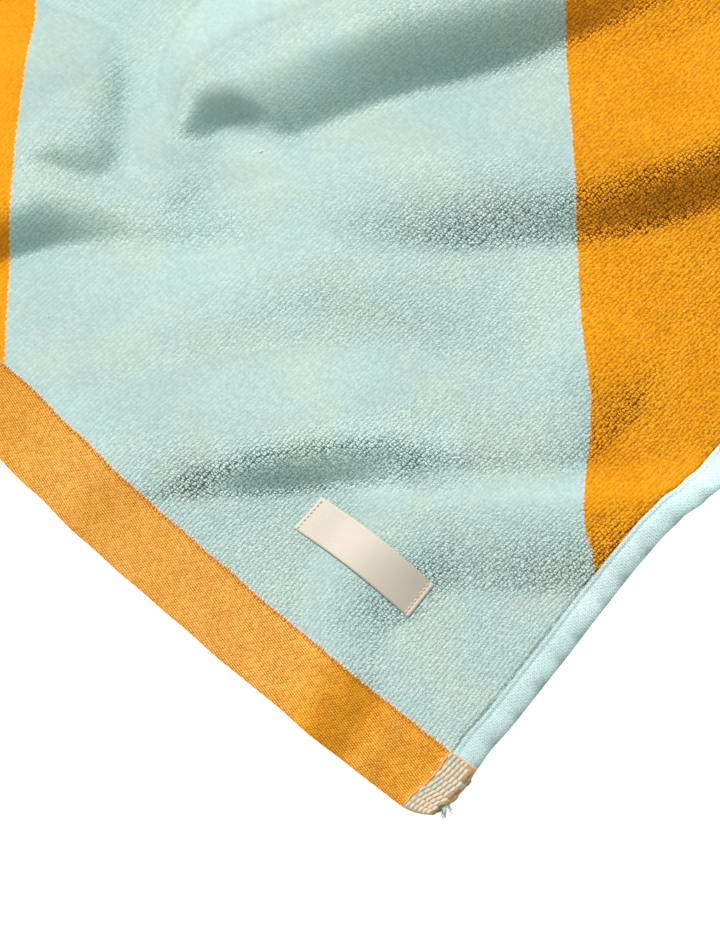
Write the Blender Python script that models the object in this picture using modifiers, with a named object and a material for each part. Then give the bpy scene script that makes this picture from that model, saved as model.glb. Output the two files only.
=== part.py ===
# Terry beach towel, a flat sheet lying in loose folds, with a woven label sewn near one corner.
# Metres, +Z up. X runs across the towel, Y along it. The cloth rests on z = 0.
# The folds are placed from the labelled corner: u is the distance from the long edge at +X, v the
# distance from the short edge at -Y, both in millimetres.
import bpy
import bmesh
import numpy as np

WIDTH = 0.700              # across the towel
LENGTH = 1.000             # along the towel
PILE_T = 0.0026            # cloth with its loops
END_HEM_T = 0.0020         # flat-woven end hem
SIDE_HEM_T = 0.0020        # turned side hem
TAB_T = 0.0030             # corner where the two hems overlap
END_HEM_W = 0.0312
SIDE_HEM_W = 0.0127
STEP_W = 0.0020            # width over which the pile rises from a hem
LABEL_L = 0.0612
LABEL_W = 0.0178
LABEL_T = 0.0008
LABEL_GAP = 0.00060
LABEL_AT = (93.3, 73.8)    # label centre, u and v in millimetres
FIELD_STEP = 2.5           # spacing of the height field, millimetres
FIELD_BLUR = 2.6           # rounding of creases, millimetres
FLAT_BELOW = 0.3           # the cloth touches the surface where a fold is lower than this, millimetres

# One row per fold: crest points (u, v), crest heights at those points, half widths of the side to the
# left of the crest and of the side to its right, steepnesses of the two sides. A half width is one
# number, or one for each crest point. Millimetres.
FOLDS = (
    ("high_fold",
     ((265, 164), (268, 169), (272, 176), (275, 185), (275, 197), (269, 213), (255, 236), (238, 260),
      (218, 284), (200, 307), (184, 332), (171, 356), (160, 380)),
     (0, 5, 10, 15, 19, 22.5, 25, 26.5, 25, 21, 15, 8, 0), (7, 8, 10, 14, 20, 26, 30, 30, 30, 30, 30, 30, 30),
     (13, 17, 25, 35, 42, 46, 46, 44, 41, 38, 36, 36, 36), 1.6, 1.12),
    ("far_left_ridge",
     ((319, 104), (316, 114), (314, 124), (311, 137), (309, 147), (309, 157), (312, 168), (316, 182)),
     (0, 2, 5, 10, 13.5, 14, 10, 0), 80, (6, 8, 16, 32, 31, 19, 12, 8), 1.5, 1.12),
    ("left_ridge",
     ((369, -13), (359, 12), (346, 41), (330, 67), (316, 91), (303, 108), (287, 121), (270, 133), (251, 143),
      (233, 155), (219, 167)),
     (3, 4, 6, 10.5, 15, 16, 11, 7.5, 6.0, 4.8, 2.4), (40, 56, 66, 66, 66, 66, 54, 34, 24, 20, 16),
     (22, 22, 24, 27, 29, 28, 26, 24, 21, 18, 14), 1.4, 1.12),
    ("tip_ridge", ((243, 149), (254, 152), (265, 158), (275, 165), (281, 172)), (0, 3.0, 3.6, 2.6, 0), 18, 20, 1.6, 1.2),
    ("stripe_fold",
     ((216, 167), (214, 181), (207, 194), (197, 203), (179, 216), (161, 229), (143, 245), (126, 263),
      (111, 284), (98, 304), (84, 330), (62, 380), (44, 436)),
     (0, 2.4, 4.6, 5.8, 7.4, 8.6, 9.2, 9.2, 8.8, 8, 7, 5, 0), 42,
     (18, 26, 33, 36, 36, 35, 33, 30, 28, 27, 27, 27, 27), 1.8, 1.35),
    ("stripe_step",
     ((132, 228), (115, 249), (101, 267), (88, 287), (74, 309), (60, 333), (44, 362)),
     (0, 4, 7, 8, 7.5, 5, 0), 30, 18, 1.6, 1.1),
    ("short_ridge",
     ((231, 92), (220, 110), (212, 125), (204, 142), (198, 158), (198, 172), (206, 188)),
     (0, 1.3, 1.8, 2.0, 1.9, 1.1, 0), 20, 26, 1.5, 1.3),
    ("shallow_ridge",
     ((202, 146), (181, 158), (157, 172), (132, 182), (112, 186)),
     (0, 1.4, 1.8, 1.2, 0), 20, 22, 1.6, 1.5),
    ("middle_fold",
     ((216, -10), (210, 10), (204, 31), (192, 50), (178, 67), (164, 80), (151, 93), (138, 105),
      (123, 117), (108, 127), (93, 137), (79, 148), (67, 162), (61, 180), (62, 200), (68, 226)),
     (1.2, 1.4, 1.6, 3.1, 6.6, 11.6, 14.2, 14.4, 12.2, 8, 5, 3.4, 2.8, 3.0, 3.0, 0), 40, 22, 1.8, 1.08),
    ("hem_ridge",
     ((142, 68), (130, 79), (116, 89), (100, 100), (84, 110), (66, 121), (51, 133), (38, 144),
      (25, 157), (11, 172), (-8, 190)),
     (0, 1.2, 2.2, 3.4, 4.6, 5.8, 6.8, 7.3, 7.6, 7.8, 8.6), 15, 39, 1.4, 1.6),
    ("label_ridge",
     ((100, 108), (93, 95), (88, 82), (89, 70), (90, 58), (82, 40), (73, 22), (64, -4)),
     (0, 2.2, 4.0, 4.6, 4.0, 2.8, 4.8, 5.6), (24, 30, 34, 34, 30, 24, 24, 24), (19, 20, 22, 22, 20, 18, 16, 15),
     1.7, 1.5),
    ("header_wave", ((41, 36), (40, 20), (37, -4)), (0, 1.8, 2.4), 9, 9, 1.6, 1.4),
    ("side_wave", ((200, 410), (150, 468), (88, 530), (28, 584), (-12, 622)), (0, 7, 10, 10, 9), 46, 36, 1.7, 1.4),
    ("inner_wave", ((366, 214), (340, 290), (300, 370), (246, 448), (196, 520)), (0, 6, 8.5, 7, 0), 42, 34, 1.7, 1.4),
    ("centre_wave", ((520, 270), (452, 366), (382, 456), (312, 556), (250, 660), (204, 740)),
     (0, 8, 13, 14, 9, 0), 56, 42, 1.7, 1.35),
    ("outer_wave", ((606, -12), (562, 72), (520, 160), (474, 244), (436, 306)), (7, 9, 11, 8, 0), 50, 40, 1.7, 1.4),
    ("edge_wave", ((712, 236), (660, 322), (602, 418), (542, 516), (496, 596)), (9, 12, 12, 8, 0), 46, 38, 1.7, 1.4),
    ("long_wave", ((604, 556), (530, 640), (454, 730), (386, 826), (336, 920)), (0, 9, 12, 10, 0), 54, 42, 1.7, 1.4),
    ("far_wave", ((268, 700), (204, 788), (144, 866), (84, 946), (40, 1012)), (0, 8, 11, 10, 8), 48, 40, 1.7, 1.4),
    ("corner_wave", ((712, 646), (654, 742), (590, 832), (524, 922), (470, 1012)), (8, 9, 10, 8, 6), 50, 40, 1.7, 1.4),
)

# Outline of the lying cloth: how far each edge is drawn in, by distance along it. Millimetres.
NEAR_END_EDGE = ((0, 1.6), (20, 0.5), (60, 0.4), (86, 1.0), (112, 1.2), (139, 2.5), (166, 3.5), (193, 5.0),
                 (222, 8.0), (255, 11.2), (305, 13.0), (365, 12.0), (430, 8.0), (540, 3.5), (700, 0.5))
FAR_END_EDGE = ((0, 0.5), (40, 2.5), (110, 6.0), (240, 2.0), (400, 4.5), (500, 6.5), (600, 2.0), (700, 0.5))
NEAR_SIDE_EDGE = ((0, 0.4), (6, 0.5), (10, 0.0), (15, -1.2), (22, -1.6), (32, -0.6), (41, -0.1), (56, -0.9), (89, -0.8), (122, -0.3),
                  (140, -0.1), (157, -0.3), (170, -1.6), (182, -4.6), (194, -7.0), (210, -7.6), (236, -5.0),
                  (272, -0.8), (330, 1.8), (420, 3.0), (540, 4.0), (610, 6.5), (700, 3.0), (820, 1.0), (1000, 0.3))
FAR_SIDE_EDGE = ((0, 0.3), (140, 1.0), (250, 6.5), (360, 3.0), (520, 1.0), (650, 6.0), (780, 2.0), (1000, 0.3))
CORNER_ROUND = (2.2, 4.2, 15.0)   # how far the labelled corner is rounded in u and v, and its reach
SHIFT_X, SHIFT_Y = -0.0040, 0.0   # puts the middle of the outline on the origin, metres
EDGE_REACH = (31.0, 160.0)        # the drawing-in is whole up to the first distance and none past the second


def smooth_line(points, per_span=12):
    """Points along a smooth line through the given ones."""
    p = np.asarray(points, float)
    p = np.vstack([2 * p[0] - p[1], p, 2 * p[-1] - p[-2]])
    t = np.linspace(0, len(p) - 3, per_span * (len(p) - 2))
    i = np.minimum(t.astype(int), len(p) - 4)
    f = (t - i)[:, None]
    a, b, c, d = p[i], p[i + 1], p[i + 2], p[i + 3]
    return 0.5 * (2 * b + (c - a) * f + (2 * a - 5 * b + 4 * c - d) * f ** 2 + (3 * b - a - 3 * c + d) * f ** 3)


def add_fold(field, us, vs, crest, heights, wide_l, wide_r, steep_l, steep_r):
    """Raises one rounded ridge in the height field."""
    wide_l, wide_r = (np.broadcast_to(w, len(crest)) for w in (wide_l, wide_r))
    line = smooth_line([(-u, v, h, l, r) for (u, v), h, l, r in zip(crest, heights, wide_l, wide_r)])
    reach = line[:, 3:].max()
    iu = np.where((-us > line[:, 0].min() - reach) & (-us < line[:, 0].max() + reach))[0]
    iv = np.where((vs > line[:, 1].min() - reach) & (vs < line[:, 1].max() + reach))[0]
    x, y = np.meshgrid(-us[iu], vs[iv])
    best = np.full(x.shape, 1e9)
    left = np.zeros(x.shape, bool)
    top, wide = np.zeros(x.shape), np.ones(x.shape)
    for (x0, y0, h0, *w0), (x1, y1, h1, *w1) in zip(line[:-1], line[1:]):
        dx, dy = x1 - x0, y1 - y0
        f = np.clip(((x - x0) * dx + (y - y0) * dy) / (dx * dx + dy * dy), 0, 1)
        ex, ey = x - x0 - f * dx, y - y0 - f * dy
        d = np.hypot(ex, ey)
        near = d < best
        best = np.where(near, d, best)
        left = np.where(near, dx * ey - dy * ex > 0, left)
        top = np.where(near, h0 + f * (h1 - h0), top)
        wide = np.where(near, np.where(left, w0[0] + f * (w1[0] - w0[0]), w0[1] + f * (w1[1] - w0[1])), wide)
    steep = np.where(left, steep_l, steep_r)
    field[np.ix_(iv, iu)] += np.maximum(top, 0) * np.clip(1 - (best / wide) ** 2, 0, 1) ** steep


def fold_field():
    """Height of the cloth's underside over the whole outline, in millimetres."""
    us = np.arange(-30, WIDTH * 1000 + 31, FIELD_STEP)
    vs = np.arange(-30, LENGTH * 1000 + 31, FIELD_STEP)
    field = np.zeros((len(vs), len(us)))
    for name, crest, heights, wl, wr, sl, sr in FOLDS:
        add_fold(field, us, vs, crest, heights, wl, wr, sl, sr)
    r = int(np.ceil(3 * FIELD_BLUR / FIELD_STEP))
    k = np.exp(-0.5 * (np.arange(-r, r + 1) * FIELD_STEP / FIELD_BLUR) ** 2)
    k /= k.sum()
    field = np.apply_along_axis(lambda a: np.convolve(np.pad(a, r, mode="edge"), k, "valid"), 0, field)
    field = np.apply_along_axis(lambda a: np.convolve(np.pad(a, r, mode="edge"), k, "valid"), 1, field)
    return us, vs, np.maximum(field - FLAT_BELOW, 0)


def sample(grid, u, v):
    """Height at plan points (u, v) in millimetres."""
    us, vs, field = grid
    fu = np.clip((np.asarray(u, float) - us[0]) / FIELD_STEP, 0, len(us) - 1.001)
    fv = np.clip((np.asarray(v, float) - vs[0]) / FIELD_STEP, 0, len(vs) - 1.001)
    i, j = fu.astype(int), fv.astype(int)
    a, b = fu - i, fv - j
    return ((field[j, i] * (1 - a) + field[j, i + 1] * a) * (1 - b)
            + (field[j + 1, i] * (1 - a) + field[j + 1, i + 1] * a) * b)


def along(table, x):
    """Smoothly read value of a two-column table."""
    t = np.asarray(table, float)
    i = np.clip(np.searchsorted(t[:, 0], x, side="right") - 1, 0, len(t) - 2)
    f = np.clip((x - t[i, 0]) / (t[i + 1, 0] - t[i, 0]), 0, 1)
    f = f * f * (3 - 2 * f)
    return t[i, 1] * (1 - f) + t[i + 1, 1] * f


def drawn_in(u, v):
    """Plan place (u, v) of the cloth point that lies s = u, t = v from the edges when flat."""
    w, l = WIDTH * 1000, LENGTH * 1000
    lo, hi = EDGE_REACH
    fade = lambda d: np.clip((hi - d) / (hi - lo), 0, 1) ** 2
    du = along(NEAR_SIDE_EDGE, v) * fade(u) - along(FAR_SIDE_EDGE, v) * fade(w - u)
    dv = along(NEAR_END_EDGE, u) * fade(v) - along(FAR_END_EDGE, u) * fade(l - v)
    ru, rv, reach = CORNER_ROUND
    tip = np.clip(1 - u / reach, 0, 1) ** 2 * np.clip(1 - v / reach, 0, 1) ** 2
    return u + du + ru * tip, v + dv + rv * tip


def placed(u, v):
    """World x and y in metres of a plan point in millimetres."""
    return WIDTH / 2 - u / 1000 + SHIFT_X, v / 1000 - LENGTH / 2 + SHIFT_Y


def ramp(x, lo, hi):
    f = np.clip((x - lo) / (hi - lo), 0, 1)
    return f * f * (3 - 2 * f)


def thickness(u, v):
    """Cloth thickness in metres at the flat cloth point (u, v)."""
    w, l = WIDTH * 1000, LENGTH * 1000
    side = ramp(np.minimum(u, w - u), SIDE_HEM_W * 1000, (SIDE_HEM_W + STEP_W) * 1000)
    end = ramp(np.minimum(v, l - v), END_HEM_W * 1000, (END_HEM_W + STEP_W) * 1000)
    hem = END_HEM_T * side + TAB_T * (1 - side)
    return (PILE_T * side + SIDE_HEM_T * (1 - side)) * end + hem * (1 - end)


def lines(stops):
    """Grid lines: (end, count) spans, starting at 0."""
    out, at = [0.0], 0.0
    for end, count in stops:
        out += [at + (end - at) * (k + 1) / count for k in range(count)]
        at = end
    return np.array(out)


def grid_object(name, us, vs, place):
    """A bmesh grid with its vertices put at place(u, v) -> x, y, z."""
    bm = bmesh.new()
    bmesh.ops.create_grid(bm, x_segments=len(us) - 1, y_segments=len(vs) - 1, size=0.5)
    bm.verts.ensure_lookup_table()
    col = np.array([round((vert.co.x + 0.5) * (len(us) - 1)) for vert in bm.verts])
    row = np.array([round((vert.co.y + 0.5) * (len(vs) - 1)) for vert in bm.verts])
    u, v = us[::-1][col], vs[row]
    x, y, z = place(u, v)
    for vert, a, b, c in zip(bm.verts, x, y, z):
        vert.co = (a, b, c)
    bmesh.ops.recalc_face_normals(bm, faces=bm.faces)
    if sum(face.normal.z for face in bm.faces) < 0:
        bmesh.ops.reverse_faces(bm, faces=bm.faces)
    mesh = bpy.data.meshes.new(name)
    bm.to_mesh(mesh)
    bm.free()
    obj = bpy.data.objects.new(name, mesh)
    collection.objects.link(obj)
    return obj, u, v


def shell(obj, thick):
    mod = obj.modifiers.new("thickness", "SOLIDIFY")
    mod.thickness = thick
    mod.offset = -1.0
    mod.use_rim = True
    mod.use_even_offset = False
    return mod


def material(name, colour, roughness):
    mat = bpy.data.materials.new(name)
    mat.use_nodes = True
    shader = mat.node_tree.nodes["Principled BSDF"]
    shader.inputs["Base Color"].default_value = (*colour, 1.0)
    shader.inputs["Roughness"].default_value = roughness
    shader.inputs["Metallic"].default_value = 0.0
    mat.diffuse_color = (*colour, 1.0)
    return mat


for old in list(bpy.data.objects):
    bpy.data.objects.remove(old, do_unlink=True)
for old in list(bpy.data.collections):
    bpy.data.collections.remove(old)
collection = bpy.data.collections.new("beach_towel")
bpy.context.scene.collection.children.link(collection)

field = fold_field()


def towel_top(u, v):
    pu, pv = drawn_in(u, v)
    return (*placed(pu, pv), sample(field, pu, pv) / 1000 + thickness(u, v))


# Cloth, hems included: finer grid lines in the corner with the sharp folds.
side, end = SIDE_HEM_W * 1000, END_HEM_W * 1000
step = STEP_W * 1000
us = lines(((side, 1), (side + step, 1), (372, 31), (700 - side - step, 9), (700 - side, 1), (700, 1)))
vs = lines(((6, 1), (15, 1), (end, 1), (end + step, 1), (356, 28), (1000 - end - step, 18), (1000 - end, 1), (1000, 1)))
towel, fu, fv = grid_object("towel", us, vs, towel_top)
weights = thickness(fu, fv) / TAB_T
group = towel.vertex_groups.new(name="thickness")
for index, weight in enumerate(weights):
    group.add([index], float(weight), "REPLACE")
mod = shell(towel, TAB_T)
mod.vertex_group = group.name
towel.data.materials.append(material("terry", (0.53, 0.71, 0.66), 0.95))


# Label: a narrow woven ribbon laid on the pile along the end hem.
def label_top(u, v):
    return (*placed(u, v), sample(field, u, v) / 1000 + PILE_T + LABEL_GAP + LABEL_T)


lu = np.linspace(LABEL_AT[0] - LABEL_L * 500, LABEL_AT[0] + LABEL_L * 500, 9)
lv = np.linspace(LABEL_AT[1] - LABEL_W * 500, LABEL_AT[1] + LABEL_W * 500, 4)
label, _, _ = grid_object("label", lu, lv, label_top)
shell(label, LABEL_T)
label.data.materials.append(material("ribbon", (0.76, 0.73, 0.63), 0.6))
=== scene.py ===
# Terry beach towel lying in loose folds: the looks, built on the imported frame. Metres, +Z up.
# u is the distance from the long edge at +X and v the distance from the short edge at -Y, seen from
# above. s and t are the same two distances measured on the flat cloth. All four are in millimetres.
import math

import bpy
import numpy as np
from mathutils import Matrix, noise


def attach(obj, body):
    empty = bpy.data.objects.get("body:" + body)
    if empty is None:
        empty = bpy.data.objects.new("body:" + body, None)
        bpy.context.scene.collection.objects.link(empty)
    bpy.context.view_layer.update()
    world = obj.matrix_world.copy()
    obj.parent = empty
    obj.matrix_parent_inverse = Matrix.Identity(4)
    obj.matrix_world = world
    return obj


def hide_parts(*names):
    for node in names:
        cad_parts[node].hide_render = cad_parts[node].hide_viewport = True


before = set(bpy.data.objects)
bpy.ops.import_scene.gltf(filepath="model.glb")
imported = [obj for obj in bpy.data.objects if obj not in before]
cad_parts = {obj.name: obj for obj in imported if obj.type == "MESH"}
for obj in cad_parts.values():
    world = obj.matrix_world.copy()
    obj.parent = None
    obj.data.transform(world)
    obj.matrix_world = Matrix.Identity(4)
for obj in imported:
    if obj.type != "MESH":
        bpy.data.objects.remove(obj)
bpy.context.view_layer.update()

WIDTH = 0.700
LENGTH = 1.000
PILE_T = 0.0026
END_HEM_T = 0.0020
SIDE_HEM_T = 0.0020
TAB_T = 0.0030
END_HEM_W = 31.2
SIDE_HEM_W = 12.7
SEAM_AT = 10.1             # the side hem's line of stitches
FIELD_STEP = 2.5
FIELD_BLUR = 2.6
FLAT_BELOW = 0.3
RIB = 1.80                 # pitch of the rows of loops
LOOP = 1.18                # length of a loop along its row
BAND = 343.8               # from one edge of a colour band to the next, along v

# Crest points (u, v), crest heights there, half widths and steepnesses of the two sides. A half width
# is one number, or one for each crest point.
FOLDS = (
    ("high_fold",
     ((265, 164), (268, 169), (272, 176), (275, 185), (275, 197), (269, 213), (255, 236), (238, 260),
      (218, 284), (200, 307), (184, 332), (171, 356), (160, 380)),
     (0, 5, 10, 15, 19, 22.5, 25, 26.5, 25, 21, 15, 8, 0), (7, 8, 10, 14, 20, 26, 30, 30, 30, 30, 30, 30, 30),
     (13, 17, 25, 35, 42, 46, 46, 44, 41, 38, 36, 36, 36), 1.6, 1.12),
    ("far_left_ridge",
     ((319, 104), (316, 114), (314, 124), (311, 137), (309, 147), (309, 157), (312, 168), (316, 182)),
     (0, 2, 5, 10, 13.5, 14, 10, 0), 80, (6, 8, 16, 32, 31, 19, 12, 8), 1.5, 1.12),
    ("left_ridge",
     ((369, -13), (359, 12), (346, 41), (330, 67), (316, 91), (303, 108), (287, 121), (270, 133), (251, 143),
      (233, 155), (219, 167)),
     (3, 4, 6, 10.5, 15, 16, 11, 7.5, 6.0, 4.8, 2.4), (40, 56, 66, 66, 66, 66, 54, 34, 24, 20, 16),
     (22, 22, 24, 27, 29, 28, 26, 24, 21, 18, 14), 1.4, 1.12),
    ("tip_ridge", ((243, 149), (254, 152), (265, 158), (275, 165), (281, 172)), (0, 3.0, 3.6, 2.6, 0), 18, 20, 1.6, 1.2),
    ("stripe_fold",
     ((216, 167), (214, 181), (207, 194), (197, 203), (179, 216), (161, 229), (143, 245), (126, 263),
      (111, 284), (98, 304), (84, 330), (62, 380), (44, 436)),
     (0, 2.4, 4.6, 5.8, 7.4, 8.6, 9.2, 9.2, 8.8, 8, 7, 5, 0), 42,
     (18, 26, 33, 36, 36, 35, 33, 30, 28, 27, 27, 27, 27), 1.8, 1.35),
    ("stripe_step",
     ((132, 228), (115, 249), (101, 267), (88, 287), (74, 309), (60, 333), (44, 362)),
     (0, 4, 7, 8, 7.5, 5, 0), 30, 18, 1.6, 1.1),
    ("short_ridge",
     ((231, 92), (220, 110), (212, 125), (204, 142), (198, 158), (198, 172), (206, 188)),
     (0, 1.3, 1.8, 2.0, 1.9, 1.1, 0), 20, 26, 1.5, 1.3),
    ("shallow_ridge",
     ((202, 146), (181, 158), (157, 172), (132, 182), (112, 186)),
     (0, 1.4, 1.8, 1.2, 0), 20, 22, 1.6, 1.5),
    ("middle_fold",
     ((216, -10), (210, 10), (204, 31), (192, 50), (178, 67), (164, 80), (151, 93), (138, 105),
      (123, 117), (108, 127), (93, 137), (79, 148), (67, 162), (61, 180), (62, 200), (68, 226)),
     (1.2, 1.4, 1.6, 3.1, 6.6, 11.6, 14.2, 14.4, 12.2, 8, 5, 3.4, 2.8, 3.0, 3.0, 0), 40, 22, 1.8, 1.08),
    ("hem_ridge",
     ((142, 68), (130, 79), (116, 89), (100, 100), (84, 110), (66, 121), (51, 133), (38, 144),
      (25, 157), (11, 172), (-8, 190)),
     (0, 1.2, 2.2, 3.4, 4.6, 5.8, 6.8, 7.3, 7.6, 7.8, 8.6), 15, 39, 1.4, 1.6),
    ("label_ridge",
     ((100, 108), (93, 95), (88, 82), (89, 70), (90, 58), (82, 40), (73, 22), (64, -4)),
     (0, 2.2, 4.0, 4.6, 4.0, 2.8, 4.8, 5.6), (24, 30, 34, 34, 30, 24, 24, 24), (19, 20, 22, 22, 20, 18, 16, 15),
     1.7, 1.5),
    ("header_wave", ((41, 36), (40, 20), (37, -4)), (0, 1.8, 2.4), 9, 9, 1.6, 1.4),
    ("side_wave", ((200, 410), (150, 468), (88, 530), (28, 584), (-12, 622)), (0, 7, 10, 10, 9), 46, 36, 1.7, 1.4),
    ("inner_wave", ((366, 214), (340, 290), (300, 370), (246, 448), (196, 520)), (0, 6, 8.5, 7, 0), 42, 34, 1.7, 1.4),
    ("centre_wave", ((520, 270), (452, 366), (382, 456), (312, 556), (250, 660), (204, 740)),
     (0, 8, 13, 14, 9, 0), 56, 42, 1.7, 1.35),
    ("outer_wave", ((606, -12), (562, 72), (520, 160), (474, 244), (436, 306)), (7, 9, 11, 8, 0), 50, 40, 1.7, 1.4),
    ("edge_wave", ((712, 236), (660, 322), (602, 418), (542, 516), (496, 596)), (9, 12, 12, 8, 0), 46, 38, 1.7, 1.4),
    ("long_wave", ((604, 556), (530, 640), (454, 730), (386, 826), (336, 920)), (0, 9, 12, 10, 0), 54, 42, 1.7, 1.4),
    ("far_wave", ((268, 700), (204, 788), (144, 866), (84, 946), (40, 1012)), (0, 8, 11, 10, 8), 48, 40, 1.7, 1.4),
    ("corner_wave", ((712, 646), (654, 742), (590, 832), (524, 922), (470, 1012)), (8, 9, 10, 8, 6), 50, 40, 1.7, 1.4),
)

NEAR_END_EDGE = ((0, 1.6), (20, 0.5), (60, 0.4), (86, 1.0), (112, 1.2), (139, 2.5), (166, 3.5), (193, 5.0),
                 (222, 8.0), (255, 11.2), (305, 13.0), (365, 12.0), (430, 8.0), (540, 3.5), (700, 0.5))
FAR_END_EDGE = ((0, 0.5), (40, 2.5), (110, 6.0), (240, 2.0), (400, 4.5), (500, 6.5), (600, 2.0), (700, 0.5))
NEAR_SIDE_EDGE = ((0, 0.4), (6, 0.5), (10, 0.0), (15, -1.2), (22, -1.6), (32, -0.6), (41, -0.1), (56, -0.9), (89, -0.8), (122, -0.3),
                  (140, -0.1), (157, -0.3), (170, -1.6), (182, -4.6), (194, -7.0), (210, -7.6), (236, -5.0),
                  (272, -0.8), (330, 1.8), (420, 3.0), (540, 4.0), (610, 6.5), (700, 3.0), (820, 1.0), (1000, 0.3))
FAR_SIDE_EDGE = ((0, 0.3), (140, 1.0), (250, 6.5), (360, 3.0), (520, 1.0), (650, 6.0), (780, 2.0), (1000, 0.3))
CORNER_ROUND = (2.2, 4.2, 15.0)

# Spots of painted light and shade on the pile: u, v, their reach along u and v, how light they are painted.
PAINTED_LIGHT_SPOTS = (
    (40, 70, 30, 26, 0.99),
    (65, 68, 12, 20, 1.06),
    (150, 42, 50, 18, 1.03),
    (218, 128, 22, 18, 1.03),
    (175, 102, 34, 22, 0.96),
    (322, 150, 26, 26, 0.93),
    (264, 68, 30, 26, 0.95),
    (218, 60, 24, 14, 0.96),
    (95, 215, 44, 36, 1.07),
    (256, 158, 12, 13, 0.93),
    (22, 172, 22, 14, 0.95),
    (219, 78, 30, 26, 0.975),
    (53, 191, 18, 16, 0.94),
    (118, 270, 24, 14, 0.93),
    (89, 254, 14, 10, 1.06),
    (64, 224, 14, 12, 0.95),
    (276, 119, 14, 10, 0.93),
)
# The same along lines: their points, half width, how light the pile is painted (painted light and shade) and how much
# its rows open.
PAINTED_LIGHT_STROKES = (
    (((164, 70), (146, 92), (131, 109), (114, 123), (97, 134)), 9, 0.15, -0.10),
    (((157, 60), (147, 73), (137, 85), (122, 98), (108, 107)), 7, 0.10, -0.40),
    (((122, 90), (96, 104), (75, 122), (54, 138), (35, 154), (18, 170), (4, 185)), 3.2, 0.055, -0.30),
    (((66, 186), (52, 192), (38, 200)), 9, -0.02, 0.22),
    (((263, 176), (261, 192), (251, 213), (234, 238)), 13, 0.0, -0.20),
)
# Where folds reach the end hems: s, half width, how much lighter the hem is painted there, as painted light on a rise
# and painted shade in a dip.
HEM_PAINTED_LIGHT = ((60, 12, -0.10), (195, 9, -0.05), (42, 7, 0.04), (95, 14, 0.03), (211, 8, 0.03))
SHIFT_X, SHIFT_Y = -0.0040, 0.0
EDGE_REACH = (31.0, 160.0)


def smooth_line(points, per_span=12):
    """Points along a smooth line through the given ones."""
    p = np.asarray(points, float)
    p = np.vstack([2 * p[0] - p[1], p, 2 * p[-1] - p[-2]])
    t = np.linspace(0, len(p) - 3, per_span * (len(p) - 2))
    i = np.minimum(t.astype(int), len(p) - 4)
    f = (t - i)[:, None]
    a, b, c, d = p[i], p[i + 1], p[i + 2], p[i + 3]
    return 0.5 * (2 * b + (c - a) * f + (2 * a - 5 * b + 4 * c - d) * f ** 2 + (3 * b - a - 3 * c + d) * f ** 3)


def add_fold(field, us, vs, crest, heights, wide_l, wide_r, steep_l, steep_r):
    """Raises one rounded ridge in the height field."""
    wide_l, wide_r = (np.broadcast_to(w, len(crest)) for w in (wide_l, wide_r))
    line = smooth_line([(-u, v, h, l, r) for (u, v), h, l, r in zip(crest, heights, wide_l, wide_r)])
    reach = line[:, 3:].max()
    iu = np.where((-us > line[:, 0].min() - reach) & (-us < line[:, 0].max() + reach))[0]
    iv = np.where((vs > line[:, 1].min() - reach) & (vs < line[:, 1].max() + reach))[0]
    x, y = np.meshgrid(-us[iu], vs[iv])
    best = np.full(x.shape, 1e9)
    left = np.zeros(x.shape, bool)
    top, wide = np.zeros(x.shape), np.ones(x.shape)
    for (x0, y0, h0, *w0), (x1, y1, h1, *w1) in zip(line[:-1], line[1:]):
        dx, dy = x1 - x0, y1 - y0
        f = np.clip(((x - x0) * dx + (y - y0) * dy) / (dx * dx + dy * dy), 0, 1)
        ex, ey = x - x0 - f * dx, y - y0 - f * dy
        d = np.hypot(ex, ey)
        near = d < best
        best = np.where(near, d, best)
        left = np.where(near, dx * ey - dy * ex > 0, left)
        top = np.where(near, h0 + f * (h1 - h0), top)
        wide = np.where(near, np.where(left, w0[0] + f * (w1[0] - w0[0]), w0[1] + f * (w1[1] - w0[1])), wide)
    steep = np.where(left, steep_l, steep_r)
    field[np.ix_(iv, iu)] += np.maximum(top, 0) * np.clip(1 - (best / wide) ** 2, 0, 1) ** steep


def fold_field():
    """Height of the cloth's underside over the whole outline, in millimetres."""
    us = np.arange(-30, WIDTH * 1000 + 31, FIELD_STEP)
    vs = np.arange(-30, LENGTH * 1000 + 31, FIELD_STEP)
    field = np.zeros((len(vs), len(us)))
    for name, crest, heights, wl, wr, sl, sr in FOLDS:
        add_fold(field, us, vs, crest, heights, wl, wr, sl, sr)
    r = int(np.ceil(3 * FIELD_BLUR / FIELD_STEP))
    k = np.exp(-0.5 * (np.arange(-r, r + 1) * FIELD_STEP / FIELD_BLUR) ** 2)
    k /= k.sum()
    field = np.apply_along_axis(lambda a: np.convolve(np.pad(a, r, mode="edge"), k, "valid"), 0, field)
    field = np.apply_along_axis(lambda a: np.convolve(np.pad(a, r, mode="edge"), k, "valid"), 1, field)
    return us, vs, np.maximum(field - FLAT_BELOW, 0)


def sample(grid, u, v):
    """Height at plan points (u, v), smoothly between the grid's own."""
    us, vs, field = grid
    fu = np.clip((np.asarray(u, float) - us[0]) / FIELD_STEP, 1, len(us) - 2.001)
    fv = np.clip((np.asarray(v, float) - vs[0]) / FIELD_STEP, 1, len(vs) - 2.001)
    i, j = fu.astype(int), fv.astype(int)
    a, b = fu - i, fv - j

    def weights(f):
        return ((-f + 2 * f ** 2 - f ** 3) / 2, (2 - 5 * f ** 2 + 3 * f ** 3) / 2,
                (f + 4 * f ** 2 - 3 * f ** 3) / 2, (f ** 3 - f ** 2) / 2)

    out = 0.0
    for m, wv in enumerate(weights(b)):
        row = 0.0
        for n, wu in enumerate(weights(a)):
            row = row + wu * field[j + m - 1, i + n - 1]
        out = out + wv * row
    return out


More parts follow.
